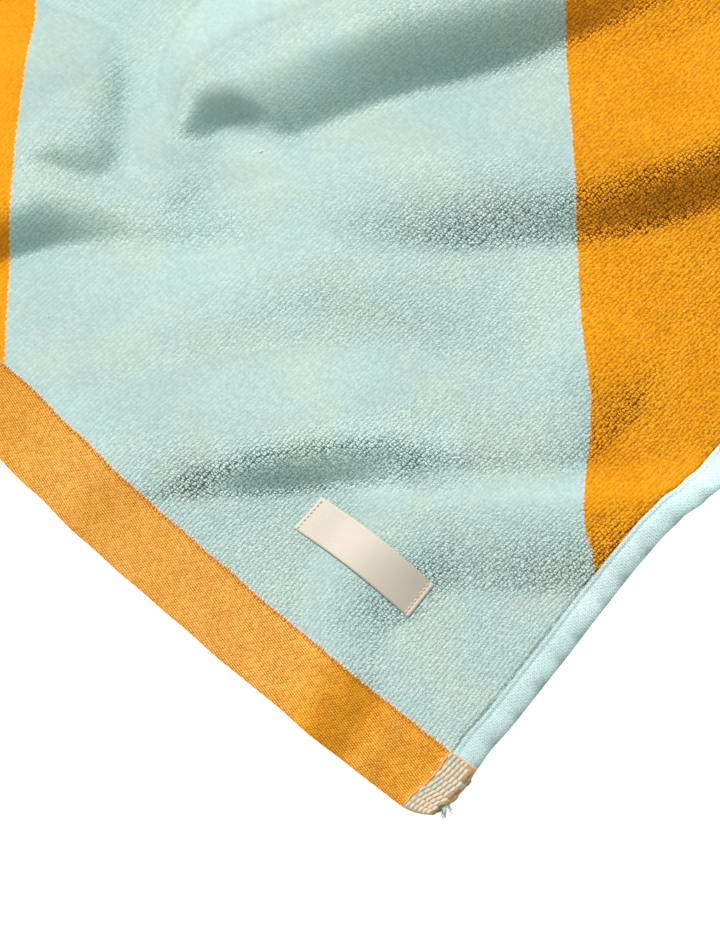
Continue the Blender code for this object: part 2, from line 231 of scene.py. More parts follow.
def along(table, x):
    """Smoothly read value of a two-column table."""
    t = np.asarray(table, float)
    i = np.clip(np.searchsorted(t[:, 0], x, side="right") - 1, 0, len(t) - 2)
    f = np.clip((x - t[i, 0]) / (t[i + 1, 0] - t[i, 0]), 0, 1)
    f = f * f * (3 - 2 * f)
    return t[i, 1] * (1 - f) + t[i + 1, 1] * f


def drawn_in(s, t):
    """Plan place (u, v) of the cloth point that lies s and t from the edges when flat."""
    w, l = WIDTH * 1000, LENGTH * 1000
    lo, hi = EDGE_REACH
    fade = lambda d: np.clip((hi - d) / (hi - lo), 0, 1) ** 2
    du = along(NEAR_SIDE_EDGE, t) * fade(s) - along(FAR_SIDE_EDGE, t) * fade(w - s)
    dv = along(NEAR_END_EDGE, s) * fade(t) - along(FAR_END_EDGE, s) * fade(l - t)
    ru, rv, reach = CORNER_ROUND
    tip = np.clip(1 - s / reach, 0, 1) ** 2 * np.clip(1 - t / reach, 0, 1) ** 2
    return s + du + ru * tip, t + dv + rv * tip


def placed(u, v):
    """World x and y in metres of a plan point in millimetres."""
    return WIDTH / 2 - u / 1000 + SHIFT_X, v / 1000 - LENGTH / 2 + SHIFT_Y


def ramp(x, lo, hi):
    f = np.clip((x - lo) / (hi - lo), 0, 1)
    return f * f * (3 - 2 * f)


def ripple(u, v, size, seed):
    """Gentle unevenness between -1 and 1."""
    flat = [noise.noise((a / size, b / size, seed)) for a, b in zip(np.ravel(u), np.ravel(v))]
    return np.clip(np.reshape(flat, np.shape(u)) * 1.6, -1, 1)


field = fold_field()
W, L = WIDTH * 1000, LENGTH * 1000


def pucker(t):
    """Puckers along the turned side hem, one about every 15 mm, between -1 and 1."""
    return 0.65 * np.cos(2 * np.pi * (t - 53.0) / 15.3) + 0.35 * np.sin(t / 4.1 + 2.0 * np.sin(t / 37.0))


def thickness(s, t):
    """Cloth thickness in metres: the pile, the puffed side hem, the flat end hem, the corners."""
    ds, dt = np.minimum(s, W - s), np.minimum(t, L - t)
    side = ramp(ds, SIDE_HEM_W - 0.3, SIDE_HEM_W + 1.0)
    end = ramp(dt, END_HEM_W - 0.3, END_HEM_W + 2.2)
    puff = 1 + (0.24 + 0.24 * pucker(t)) * np.sin(np.pi * np.clip((ds - 0.5) / (SEAM_AT - 0.8), 0, 1))
    hem = SIDE_HEM_T * puff - 0.00030 * np.exp(-((ds - SEAM_AT) / 0.45) ** 2)
    hem = hem + 0.00020 * np.exp(-((ds - SEAM_AT - 1.3) / 0.8) ** 2)
    tab = ramp(ds, SIDE_HEM_W + 1.2, SIDE_HEM_W + 2.2)
    header = END_HEM_T * tab + TAB_T * (1 - tab)
    return (PILE_T * side + hem * (1 - side)) * end + header * (1 - end)


def rounding(d, r):
    """Rounded edge: 0 at the edge, 1 from r inwards."""
    return np.sqrt(np.clip(1 - (1 - np.clip(d / r, 0, 1)) ** 2, 0, 1))


def skins(s, t, uneven=0.0):
    """World x, y, and z of the upper and the lower face, at the cloth points (s, t)."""
    u, v = drawn_in(s, t)
    x, y = placed(u, v)
    base = sample(field, u, v) / 1000 + uneven
    thick = thickness(s, t)
    ds, dt = np.minimum(s, W - s), np.minimum(t, L - t)
    over = rounding(ds, 2.6) * rounding(dt, 1.5)
    under = rounding(ds, 0.9) * rounding(dt, 0.9)
    middle = base + thick * 0.45
    return x, y, middle + thick * 0.55 * over, np.maximum(middle - thick * 0.45 * under, 0.0)


def on_top(s, t, lift=0.0):
    """World points on the upper face, lifted by lift metres."""
    s, t = np.broadcast_arrays(np.asarray(s, float), np.asarray(t, float))
    x, y, top, _ = skins(s, t)
    return np.stack([x, y, top + lift], axis=-1)


# ---------------------------------------------------------------- meshes

def piece(name, verts, faces, materials, smooth=True):
    mesh = bpy.data.meshes.new(name)
    mesh.from_pydata(verts if isinstance(verts, list) else verts.tolist(), [], faces)
    for mat in materials:
        mesh.materials.append(mat)
    mesh.update()
    if smooth:
        mesh.shade_smooth()
    obj = bpy.data.objects.new(name, mesh)
    bpy.context.scene.collection.objects.link(obj)
    return obj


def spread(mesh, name, values):
    """A float for each vertex."""
    layer = mesh.attributes.new(name, "FLOAT", "POINT")
    layer.data.foreach_set("value", np.asarray(values, np.float32).ravel())


def unwrap(mesh, name, a, b):
    """A UV map from two values for each vertex."""
    layer = mesh.uv_layers.new(name=name)
    index = np.empty(len(mesh.loops), np.int32)
    mesh.loops.foreach_get("vertex_index", index)
    uv = np.stack([np.ravel(a)[index], np.ravel(b)[index]], axis=-1).astype(np.float32)
    layer.uv.foreach_set("vector", uv.ravel())


def lines(*spans):
    """Grid lines from spans of (end, step); the first number starts them."""
    out = [float(spans[0])]
    for end, step in spans[1:]:
        count = max(1, round((end - out[-1]) / step))
        out += list(out[-1] + (end - out[-1]) * (np.arange(count) + 1) / count)
    return np.array(out)


class Threads:
    """Many short rounded threads joined in one mesh, each with its own tint."""

    def __init__(self, sides=6):
        self.verts, self.faces, self.tints, self.sides = [], [], [], sides

    def add(self, points, radius, tint=0.0, flat=1.0, up=(0, 0, 1)):
        """One thread along the given points, with rounded ends."""
        p = np.asarray(points, float)
        start, n = len(self.verts), self.sides
        d = np.gradient(p, axis=0)
        d /= np.maximum(np.linalg.norm(d, axis=1, keepdims=True), 1e-9)
        across = np.cross(d, np.asarray(up, float))
        across /= np.maximum(np.linalg.norm(across, axis=1, keepdims=True), 1e-9)
        rise = np.cross(across, d)
        stations = [(p[0] - d[0] * radius * 0.55, 0, 0.45)]
        stations += [(p[k], k, 1.0) for k in range(len(p))]
        stations += [(p[-1] + d[-1] * radius * 0.55, len(p) - 1, 0.45)]
        angle = np.arange(n) * 2 * np.pi / n
        for centre, k, r in stations:
            ring = centre + radius * r * (np.cos(angle)[:, None] * across[k] + flat * np.sin(angle)[:, None] * rise[k])
            self.verts += ring.tolist()
        rings = len(stations)
        self.verts += [(p[0] - d[0] * radius).tolist(), (p[-1] + d[-1] * radius).tolist()]
        first, last = start + rings * n, start + rings * n + 1
        for k in range(rings - 1):
            for m in range(n):
                a, b = start + k * n + m, start + k * n + (m + 1) % n
                self.faces.append((a, b, b + n, a + n))
        for m in range(n):
            self.faces.append((start + (m + 1) % n, start + m, first))
            end = start + (rings - 1) * n
            self.faces.append((end + m, end + (m + 1) % n, last))
        self.tints += [tint] * (rings * n + 2)

    def build(self, name, mat):
        obj = piece(name, self.verts, self.faces, [mat])
        spread(obj.data, "tint", self.tints)
        return obj


# ---------------------------------------------------------------- materials

class Value:
    """A shader value that can be used in sums."""

    def __init__(self, graph, out):
        self.graph, self.out = graph, out

    def __add__(self, other):
        return self.graph.math("ADD", self, other)

    def __sub__(self, other):
        return self.graph.math("SUBTRACT", self, other)

    def __rsub__(self, other):
        return self.graph.math("SUBTRACT", other, self)

    def __mul__(self, other):
        return self.graph.math("MULTIPLY", self, other)

    def __truediv__(self, other):
        return self.graph.math("DIVIDE", self, other)

    def __pow__(self, other):
        return self.graph.math("POWER", self, other)

    __radd__ = __add__
    __rmul__ = __mul__


class Graph:
    """A material's nodes, written as sums."""

    def __init__(self, name, roughness=0.95, sheen=0.0, specular=0.2):
        self.mat = bpy.data.materials.new(name)
        self.mat.use_nodes = True
        self.nodes = self.mat.node_tree.nodes
        self.links = self.mat.node_tree.links
        self.shader = self.nodes["Principled BSDF"]
        self.shader.inputs["Roughness"].default_value = roughness
        self.shader.inputs["Specular IOR Level"].default_value = specular
        self.shader.inputs["Sheen Weight"].default_value = sheen
        self.shader.inputs["Sheen Roughness"].default_value = 0.6

    def put(self, value, socket):
        if isinstance(value, Value):
            self.links.new(value.out, socket)
        else:
            socket.default_value = value

    def math(self, kind, *args, clamp=False):
        node = self.nodes.new("ShaderNodeMath")
        node.operation, node.use_clamp = kind, clamp
        for k, a in enumerate(args):
            self.put(a, node.inputs[k])
        return Value(self, node.outputs[0])

    def floor(self, x):
        return self.math("FLOOR", x)

    def clamp(self, x):
        return self.math("ADD", x, 0.0, clamp=True)

    def wave(self, x):
        """A wave between 0 and 1 with period 1."""
        return self.math("COSINE", x * (2 * math.pi)) * 0.5 + 0.5

    def ramp(self, x, lo, hi, a=0.0, b=1.0):
        node = self.nodes.new("ShaderNodeMapRange")
        node.interpolation_type = "SMOOTHSTEP"
        for k, value in enumerate((x, lo, hi, a, b)):
            self.put(value, node.inputs[k])
        return Value(self, node.outputs[0])

    def vector(self, x, y, z=0.0):
        node = self.nodes.new("ShaderNodeCombineXYZ")
        for k, value in enumerate((x, y, z)):
            self.put(value, node.inputs[k])
        return Value(self, node.outputs[0])

    def parts(self, v):
        node = self.nodes.new("ShaderNodeSeparateXYZ")
        self.put(v, node.inputs[0])
        return [Value(self, o) for o in node.outputs]

    def noise(self, x, y, detail=2.0, rough=0.5):
        node = self.nodes.new("ShaderNodeTexNoise")
        node.noise_dimensions = "2D"
        self.put(self.vector(x, y), node.inputs["Vector"])
        node.inputs["Scale"].default_value = 1.0
        node.inputs["Detail"].default_value = detail
        node.inputs["Roughness"].default_value = rough
        return Value(self, node.outputs[0])

    def chance(self, x, y):
        """Three random numbers for each whole (x, y)."""
        node = self.nodes.new("ShaderNodeTexWhiteNoise")
        node.noise_dimensions = "2D"
        self.put(self.vector(x, y), node.inputs["Vector"])
        return self.parts(Value(self, node.outputs["Color"]))

    def uv(self, name):
        node = self.nodes.new("ShaderNodeUVMap")
        node.uv_map = name
        return self.parts(Value(self, node.outputs[0]))[:2]

    def attribute(self, name):
        node = self.nodes.new("ShaderNodeAttribute")
        node.attribute_type, node.attribute_name = "GEOMETRY", name
        return Value(self, node.outputs["Fac"])

    def mix(self, f, a, b, kind="MIX"):
        node = self.nodes.new("ShaderNodeMix")
        node.data_type, node.blend_type = "RGBA", kind
        for value, k in ((f, 0), (a, 6), (b, 7)):
            if isinstance(value, tuple):
                value = (*value, 1.0)
            self.put(value, node.inputs[k])
        return Value(self, node.outputs[2])

    def scale(self, colour, factor):
        """A colour times a number."""
        node = self.nodes.new("ShaderNodeVectorMath")
        node.operation = "SCALE"
        if isinstance(colour, tuple):
            node.inputs[0].default_value = colour
        else:
            self.put(colour, node.inputs[0])
        self.put(factor, node.inputs["Scale"])
        return Value(self, node.outputs[0])

    def finish(self, colour, height=None, strength=1.0, distance=0.0005):
        self.put(colour, self.shader.inputs["Base Color"])
        if height is not None:
            node = self.nodes.new("ShaderNodeBump")
            node.inputs["Distance"].default_value = distance
            self.put(strength, node.inputs["Strength"])
            self.put(height, node.inputs["Height"])
            self.put(Value(self, node.outputs[0]), self.shader.inputs["Normal"])
        return self.mat


AQUA_GREEN = (0.468, 0.610, 0.548)
AQUA_BLUE = (0.446, 0.605, 0.572)
# Painted shade: the aqua pile is mixed towards this colour on slopes turned away from the key light.
TEAL_PAINTED_SHADE = (0.112, 0.288, 0.232)
# Gap colours: painted shadow between the loops, partly the darker ground there, deepest on slopes turned away from the
# key light.
TEAL_GAP_SHADE = (0.060, 0.142, 0.112)
ORANGE_GAP_SHADE = (0.150, 0.042, 0.000)
ORANGE = (0.822, 0.320, 0.006)
ORANGE_PALE = (0.858, 0.350, 0.010)
# Painted shade colour of the orange pile on slopes turned away from the key light.
ORANGE_PAINTED_SHADE = (0.285, 0.088, 0.000)
HEADER = (0.815, 0.336, 0.020)
HEADER_PALE = (0.890, 0.474, 0.112)
HEADER_DEEP = (0.350, 0.105, 0.002)
HEM = (0.488, 0.646, 0.628)
HEM_PALE = (0.525, 0.676, 0.658)
# HEM_DEEP: the hem's dark weave threads, and the painted shade between its puckers.
HEM_DEEP = (0.250, 0.415, 0.405)
CREAM = (0.650, 0.588, 0.480)
FRINGE = (0.740, 0.600, 0.500)


def pile_material(name, reverse=False):
    """Rows of loops with bands of two colours; the bands' edges step from loop to loop."""
    g = Graph(name, roughness=0.95, sheen=0.05, specular=0.08)
    a, b = g.uv("weave")
    band, light_facing, painted_light, crisp = g.attribute("band"), g.attribute("light_facing"), g.attribute("painted_light"), g.attribute("crisp")
    wobble = g.noise(a * 0.10, b * 0.065, 2.0) - 0.5
    x = (a + wobble * 1.8 + (g.noise(a * 0.75, b * 0.75, 1.0) - 0.5) * 1.1) / RIB
    i = g.floor(x)
    fx = x - i - 0.5
    shift = g.chance(i, 0.5)[0]
    slow = g.noise(a * 0.05, b * 0.05, 1.0)
    y = b / LOOP + i * 0.5 + shift * 0.4 + slow * 0.8 + (g.noise(a * 0.75 + 40.0, b * 0.75, 1.0) - 0.5) * 1.1
    j = g.floor(y)
    fy = y - j - 0.5
    r1, r2, r3 = g.chance(i, j)
    dx = (fx - (r1 - 0.5) * 0.34) / 0.51
    dy = (fy - (r2 - 0.5) * 0.40) / 0.56
    fibre = g.noise(a * 1.6, b * 1.6, 2.0, 0.6)
    fleck = g.chance(g.floor(a * 1.35 + wobble), g.floor(b * 1.35 + wobble))[0] - 0.5
    away = g.ramp(light_facing, 0.00, -0.34)
    shade = g.ramp(light_facing, -0.26, -0.58)
    facing = g.ramp(light_facing, 0.03, 0.20)
    across = g.math("POWER", g.clamp(1.0 - dx * dx), 0.8)
    bead = across * (g.clamp(1.0 - dy * dy) * (away * 0.25 + 0.62) + 0.38 - away * 0.25) * (r3 * 0.55 + 0.68)
    centre = band - fy * (LOOP * 0.6) + fx * (1.123 * RIB * 0.6) + (r1 - 0.5) * 0.5
    turn = g.math("FRACT", centre / (2 * BAND))
    orange = g.math("GREATER_THAN" if reverse else "LESS_THAN", turn, 0.5)
    patch = g.noise(a * 0.030 + 7.0, b * 0.030, 3.0, 0.6)
    aqua = g.mix(g.ramp(patch, 0.36, 0.64), AQUA_BLUE, AQUA_GREEN)
    lint = g.math("GREATER_THAN", g.chance(i + 31.0, j + 17.0)[1], 0.9985) * bead
    aqua = g.mix(lint * 0.5, aqua, (0.70, 0.50, 0.36))
    near = g.math("PINGPONG", band, BAND / 2)
    edge = g.ramp(near, 1.6, 0.3) * (r1 * 0.7 + 0.2) * (1.0 - orange)
    s, t = g.uv("cloth")
    rim = g.ramp(g.math("MINIMUM", t, L - t) + (r3 - 0.5) * 1.0, END_HEM_W + 1.3, END_HEM_W + 0.5)
    aqua = g.mix(g.math("MAXIMUM", edge, rim * (r1 * 0.4 + 0.5)), aqua, FRINGE)
    beside = g.ramp(g.math("MINIMUM", s, W - s) + (fibre - 0.5) * 1.6, SIDE_HEM_W + 1.5, SIDE_HEM_W + 0.2)
    warm = g.mix(g.ramp(patch, 0.3, 0.7), ORANGE, ORANGE_PALE)
    base = g.mix(orange, aqua, warm)
    shade_colour = g.mix(orange, TEAL_PAINTED_SHADE, ORANGE_PAINTED_SHADE)
    grain = (fibre - 0.5) * (shade * 0.5 + 0.30) + fleck * (shade * 0.22 + away * 0.20 + 0.13 - facing * 0.05)
    # Painted light: lit slopes are painted darker and slopes turned away from the key light lighter, and the spots and
    # strokes of painted light and shade multiply in.
    tone = (r3 * 0.10 + patch * 0.10 + grain * crisp + 0.98) * (1.0 - facing * 0.16) * (away * 0.36 + 1.0) * painted_light
    base = g.scale(base, tone)
    gap = g.math("POWER", g.clamp(1.0 - bead), 1.6)
    # Painted shadow in the gaps between loops: deepest on slopes turned away from the key light, weaker on lit slopes
    # and in full shade; partly the darker ground between loops.
    gap_shade = gap * (away * 0.78 - shade * 0.42 + 0.34 + orange * 0.34 - facing * 0.16) * crisp + (1.0 - crisp) * 0.05
    # Painted shade: slopes turned steeply away from the key light are mixed towards a deep shade colour.
    base = g.mix(g.clamp(away * 0.02 + shade * 0.52), base, shade_colour)
    # Painted shade in the groove where the pile meets the side hem.
    groove_shade = beside * g.ramp(g.noise(s * 0.8, t * 0.35, 2.0), 0.30, 0.62) * 0.46
    colour = g.mix(g.clamp(gap_shade + groove_shade), base, g.mix(orange, TEAL_GAP_SHADE, ORANGE_GAP_SHADE))
    height = bead + fibre * 0.70 + fleck * 0.25
    strength = g.clamp(away * 0.45 + 0.60 - facing * 0.32 - shade * 0.32) * crisp
    return g.finish(colour, height, strength, 0.00060)


def header_material():
    """Flat-woven end hem: fine lines that run a little off the weft, with pin dots between them."""
    g = Graph("end_hem_weave", roughness=0.85, sheen=0.0, specular=0.12)
    s, t = g.uv("cloth")
    drift = g.noise(s * 0.05, t * 0.08, 2.0) - 0.5
    p = (s * -0.259 + t * 0.966 + drift * 0.5) / 0.98
    q = (s * 0.966 + t * 0.259) / 1.30
    i = g.floor(p)
    fp = p - i - 0.5
    qq = q + i * 0.37
    j = g.floor(qq)
    fq = qq - j - 0.5
    r1, r2, r3 = g.chance(i, j)
    line = 1.0 - g.math("ABSOLUTE", fp) * 2.0
    ridge = g.ramp(line, 0.0, 0.75)
    lift = ridge * (1.0 - fq * fq * 1.6)
    gap = 1.0 - ridge
    pin = g.ramp(g.math("ABSOLUTE", fq + (r2 - 0.5) * 0.4), 0.36, 0.14) * (gap * 0.8 + 0.2) * g.ramp(r1, 0.20, 0.90)
    speck = g.noise(s * 1.5, t * 1.5, 2.0, 0.6)
    patch = g.noise(s * 0.075, t * 0.11, 3.0, 0.6)
    inner = g.math("MINIMUM", t, L - t)
    tick = g.wave(s / 1.75 + drift * 2.0) * g.ramp(inner, END_HEM_W - 2.4, END_HEM_W - 0.9) * g.ramp(speck, 0.35, 0.60)
    pale = g.ramp(s, 62.0, 100.0) * g.ramp(s, 280.0, 220.0) * 0.42
    coarse = g.ramp(s, 150.0, 90.0)
    # rise carries the painted light and shade where folds cross the end hem: paler and lighter on a rise, darker in a
    # dip.
    rise = g.attribute("painted_light")
    tone = (patch - 0.5) * (coarse * 0.22 + 0.26) + (speck - 0.5) * (coarse * 0.26 + 0.34)
    tone = (tone + r3 * 0.10 + 1.01 + pale * 0.08 + coarse * 0.02) * rise
    base = g.scale(g.mix(g.clamp(r3 * 0.3 + pale + (rise - 1.0) * 3.2 + 0.05), HEADER, HEADER_PALE), tone)
    colour = g.mix(g.clamp(gap * (coarse * 0.08 + 0.46) + pin * (coarse * 0.25 + 0.85) + tick * 0.9), base, HEADER_DEEP)
    return g.finish(colour, lift + speck * 0.4, 0.70, 0.00040)


def hem_material():
    """Turned side hem: a smooth fine satin weave, with painted shade towards the outer edge between its puckers and
    along the rolled edge, and a painted lighter strip beside the seam.
    """
    g = Graph("side_hem_weave", roughness=0.8, sheen=0.05, specular=0.15)
    s, t = g.uv("cloth")
    inwards = g.math("MINIMUM", s, W - s)
    rows = g.wave(t / 1.11 + g.noise(s * 0.2, t * 0.1, 1.0) * 0.5)
    cross = g.wave(s * 0.53 + t * 0.47) * 0.5 + g.wave(s * 0.90 - t * 0.62) * 0.5
    speck = g.noise(s * 2.2, t * 2.2, 1.0)
    fleck = g.chance(g.floor(s * 1.7), g.floor(t * 1.7))[0]
    weave = rows * 0.30 + cross * 0.30 + speck * 0.6 + fleck * 0.35
    patch = g.noise(s * 0.06, t * 0.05, 2.0)
    between = g.wave((t - 53.0) / 15.3 + 0.5 + (g.noise(t * 0.05, 0.5, 1.0) - 0.5) * 0.5)
    # Painted shade between the puckers, towards the outer edge.
    pucker_shade = between * between * g.ramp(inwards + (g.noise(s * 0.5, t * 0.5, 2.0) - 0.5) * 4.0, 7.0, 1.0)
    strip = g.ramp(inwards, SEAM_AT + 0.3, SEAM_AT + 0.8)
    # Painted shade along the rolled outer edge and a painted lighter strip beside the seam; also lighter beyond t 90 to
    # 150 mm.
    tone = weave * 0.50 + 0.59 - pucker_shade * 0.30 - g.ramp(inwards, 2.6, 0.5) * 0.10 + strip * 0.05 + g.ramp(t, 90.0, 150.0) * 0.18
    base = g.scale(g.mix(g.ramp(patch, 0.35, 0.65), HEM, HEM_PALE), tone)
    colour = g.mix(g.clamp(g.ramp(weave, 0.72, 0.34) * (0.50 - g.ramp(t, 90.0, 150.0) * 0.10) + pucker_shade * 0.20), base, HEM_DEEP)
    return g.finish(colour, weave, 0.55, 0.00032)


def corner_material():
    """Ground of the corners, seen between their thick threads."""
    g = Graph("corner_ground", roughness=0.9, sheen=0.05, specular=0.15)
    s, t = g.uv("cloth")
    speck = g.noise(s * 1.1, t * 0.7, 2.0)
    colour = g.mix(g.ramp(speck, 0.35, 0.65), (0.62, 0.30, 0.08), (0.40, 0.40, 0.29))
    return g.finish(colour, speck, 0.5, 0.0004)


def thread_material(name, low, high, roughness=0.85):
    """Thread whose colour goes from low to high with each piece's own tint."""
    g = Graph(name, roughness=roughness, sheen=0.08, specular=0.2)
    node = g.nodes.new("ShaderNodeTexCoord")
    x, y, z = g.parts(Value(g, node.outputs["Object"]))
    twist = g.wave((x + y) * 2600.0 + z * 1800.0)
    tint = g.attribute("tint")
    colour = g.scale(g.mix(tint, low, high), twist * 0.12 + 0.90)
    return g.finish(colour, twist, 0.35, 0.00010)


def ribbon_material():
    """Smooth woven ribbon: fine crossing threads with a soft satin gloss."""
    g = Graph("label_ribbon", roughness=0.75, sheen=0.0, specular=0.15)
    s, t = g.uv("cloth")
    weft = g.wave(t / 0.62)
    warp = g.wave(s / 0.70)
    cross = weft * 0.5 + warp * 0.5
    speck = g.noise(s * 1.4, t * 1.4, 2.0)
    colour = g.scale(g.mix(speck, CREAM, (0.660, 0.600, 0.500)), cross * 0.12 + (speck - 0.5) * 0.12 + 0.92)
    bow = (s - s * s / 50.0) * 1.7 + g.ramp(s, 58.7, 61.2) * 8.0
    return g.finish(colour, cross * 0.6 + speck * 0.5 + bow, 0.60, 0.00018)


pile = pile_material("terry_pile")
pile_back = pile_material("terry_pile_reverse", reverse=True)
header = header_material()
hem = hem_material()
corner = corner_material()
ribbon = ribbon_material()
aqua_thread = thread_material("aqua_thread", (0.30, 0.44, 0.41), (0.58, 0.74, 0.70))
warm_thread = thread_material("warm_thread", (0.72, 0.27, 0.03), (0.86, 0.66, 0.48))
bead_thread = thread_material("corner_thread", (0.46, 0.60, 0.53), (0.80, 0.60, 0.40))
fringe_thread = thread_material("fringe_thread", (0.74, 0.40, 0.18), (0.76, 0.68, 0.60))
# Dark thread for the corners' rolled outer edge: painted shade on that side.
dark_thread = thread_material("corner_shade_thread", (0.12, 0.10, 0.05), (0.30, 0.24, 0.14))
cream_thread = thread_material("cream_thread", (0.62, 0.42, 0.28), (0.90, 0.84, 0.76))

# ---------------------------------------------------------------- the cloth

ss = lines(0, (0.12, 1), (0.35, 1), (0.7, 1), (1.2, 1), (1.9, 1), (2.7, 1), (4.0, 2), (8.4, 1.5), (SEAM_AT - 0.5, 1),
           (SEAM_AT, 1), (SEAM_AT + 0.5, 1), (11.2, 1), (11.9, 1), (12.5, 1), (13.2, 1), (14.4, 1.2),
           (378, 2.6), (W - 14.4, 9.2), (W - 13.2, 2), (W - 11.9, 2), (W - SEAM_AT, 3), (W - 5.5, 4), (W - 2.6, 4),
           (W - 1.2, 4), (W - 0.35, 4), (W, 4))
ts = lines(0, (0.12, 1), (0.35, 1), (0.8, 1), (1.5, 1), (4, 2.5), (28.6, 2.5), (30.1, 2), (30.7, 1), (31.2, 1), (33.6, 2.5),
           (358, 2.6), (L - 31.2, 9.4), (L - 30.1, 3), (L - 16, 8), (L - 4, 7), (L - 1.5, 3), (L - 0.5, 3), (L, 3))
S, T = np.meshgrid(ss, ts)
U, V = drawn_in(S, T)
uneven = (0.16 * ripple(U, V, 21.0, 3.1) + 0.10 * ripple(U, V, 9.5, 8.7)) / 1000
uneven = np.maximum(uneven + 0.0001, 0)
X, Y, TOP, LOW = skins(S, T, uneven)
rows, cols = S.shape
inner = np.zeros(S.shape, bool)
inner[1:-1, 1:-1] = True
top_index = np.arange(rows * cols).reshape(rows, cols)
low_index = top_index.copy()
low_index[inner] = rows * cols + np.arange(inner.sum())
verts = np.concatenate([np.stack([X, Y, TOP], -1).reshape(-1, 3), np.stack([X[inner], Y[inner], LOW[inner]], -1)])


def quads(index, flip):
    a, b, c, d = index[:-1, :-1], index[:-1, 1:], index[1:, 1:], index[1:, :-1]
    q = np.stack([a, b, c, d] if flip else [a, d, c, b], -1)
    return q.reshape(-1, 4)


faces = np.concatenate([quads(top_index, False), quads(low_index, True)])
towel = piece("towel_cloth", verts, faces.tolist(), [pile, pile_back, header, hem, corner])
mid_s = (ss[:-1] + ss[1:]) / 2
mid_t = (ts[:-1] + ts[1:]) / 2
MS, MT = np.meshgrid(np.minimum(mid_s, W - mid_s), np.minimum(mid_t, L - mid_t))
kind = np.zeros(MS.shape, int)
kind[MS < SIDE_HEM_W] = 3
kind[MT < END_HEM_W] = 2
kind[(MS < SIDE_HEM_W + 1.8) & (MT < END_HEM_W + 0.4)] = 4
low_kind = np.where(kind == 0, 1, kind)
towel.data.polygons.foreach_set("material_index", np.concatenate([kind.ravel(), low_kind.ravel()]).astype(np.int32))


def both(grid):
    """The same values for the upper vertices and for the lower ones."""
    return np.concatenate([grid.ravel(), grid[inner]])


def run(steps_a, steps_z, axis):
    """Length along the cloth from its edge."""
    d = np.hypot(np.diff(steps_a, axis=axis), np.diff(steps_z, axis=axis))
    pad = [(0, 0), (0, 0)]
    pad[axis] = (1, 0)
    return np.pad(np.cumsum(d, axis=axis), pad)


H = sample(field, U, V)
arc_u, arc_v = run(U, H, 1), run(V, H, 0)
arc_u = U + 0.25 * (arc_u - U + U[:, :1])
arc_v = V + 0.25 * (arc_v - V + V[:1, :])
step = lambda x: np.clip(x, 0, 1) ** 3 * (1 - np.clip(x, 0, 1) / 2) + np.maximum(x - 1, 0)
fan = 0.13 * 68.75 * (step((U + 1.6 * V - 140) / 110) - step((U - 140) / 110))
unwrap(towel.data, "weave", both(arc_u + fan), both(arc_v))
unwrap(towel.data, "cloth", both(S), both(T))
bump_u = lambda at, wide: np.exp(-((U - at) / wide) ** 2)
band = V - (115.8 + 1.123 * U + 3.0 * bump_u(60, 14) - 6.0 * bump_u(32, 12))
past = np.clip(U, 200, 345) - 257.5
band += ramp(-band, 100, 300) * (27.2 - 0.20 * past - 0.0022 * past ** 2)
spread(towel.data, "band", both(band))
# How far the upper face turns towards the key light (positive) or away from it; the pile material paints light and
# shade from this.
gu = (sample(field, U + 1.5, V) - sample(field, U - 1.5, V)) / 3
gv = (sample(field, U, V + 1.5) - sample(field, U, V - 1.5)) / 3
light_facing = (-0.927 * gu - 0.375 * gv) / np.sqrt(1 + gu ** 2 + gv ** 2)
spread(towel.data, "light_facing", np.concatenate([light_facing.ravel(), np.zeros(inner.sum())]))
crisp = 1 - 0.70 * ramp(U + 0.15 * V, 168, 250)
crisp += 0.25 * np.exp(-((U - 165) / 45) ** 2 - ((V - 72) / 32) ** 2)
crisp -= 0.16 * np.exp(-((U - 95) / 60) ** 2 - ((V - 215) / 30) ** 2)
crisp += 0.40 * np.exp(-((U - 252) / 16) ** 2 - ((V - 158) / 18) ** 2)
# Painted light and shade: the pile is painted lighter or darker in spots and along lines, and the end hems where folds
# rise and dip.
painted_light = np.ones(U.shape)
for u0, v0, ru, rv, tone in PAINTED_LIGHT_SPOTS:
    painted_light += (tone - 1) * np.exp(-((U - u0) / ru) ** 2 - ((V - v0) / rv) ** 2)
# Painted light and shade along lines, which also change how open the rows look.
for points, wide, lighter, opener in PAINTED_LIGHT_STROKES:
    path = smooth_line(points, 5)
    off = np.full(U.shape, 1e9)
    for (u0, v0), (u1, v1) in zip(path[:-1], path[1:]):
        du, dv = u1 - u0, v1 - v0
        f = np.clip(((U - u0) * du + (V - v0) * dv) / (du * du + dv * dv), 0, 1)
        off = np.minimum(off, np.hypot(U - u0 - f * du, V - v0 - f * dv))
    painted_light += lighter * np.exp(-(off / wide) ** 2)
    crisp += opener * np.exp(-(off / wide) ** 2)
# The end hems get painted light and shade where folds cross them.
hem_light = 1 + sum(k * np.exp(-((S - s0) / wide) ** 2) for s0, wide, k in HEM_PAINTED_LIGHT)
painted_light = np.where(np.minimum(T, L - T) < END_HEM_W, hem_light, painted_light)
spread(towel.data, "painted_light", both(painted_light))
spread(towel.data, "crisp", both(crisp))
towel.data.validate()
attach(towel, "root")
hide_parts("towel")

rng = np.random.default_rng(11)

# ---------------------------------------------------------------- loops and stitches along the hems

def orange_at(s, t):
    """Whether the colour band is orange beside the side hem, on the upper face."""
    u, v = drawn_in(s, t)
    return (v - 115.8 - 1.123 * u) % (2 * BAND) < BAND


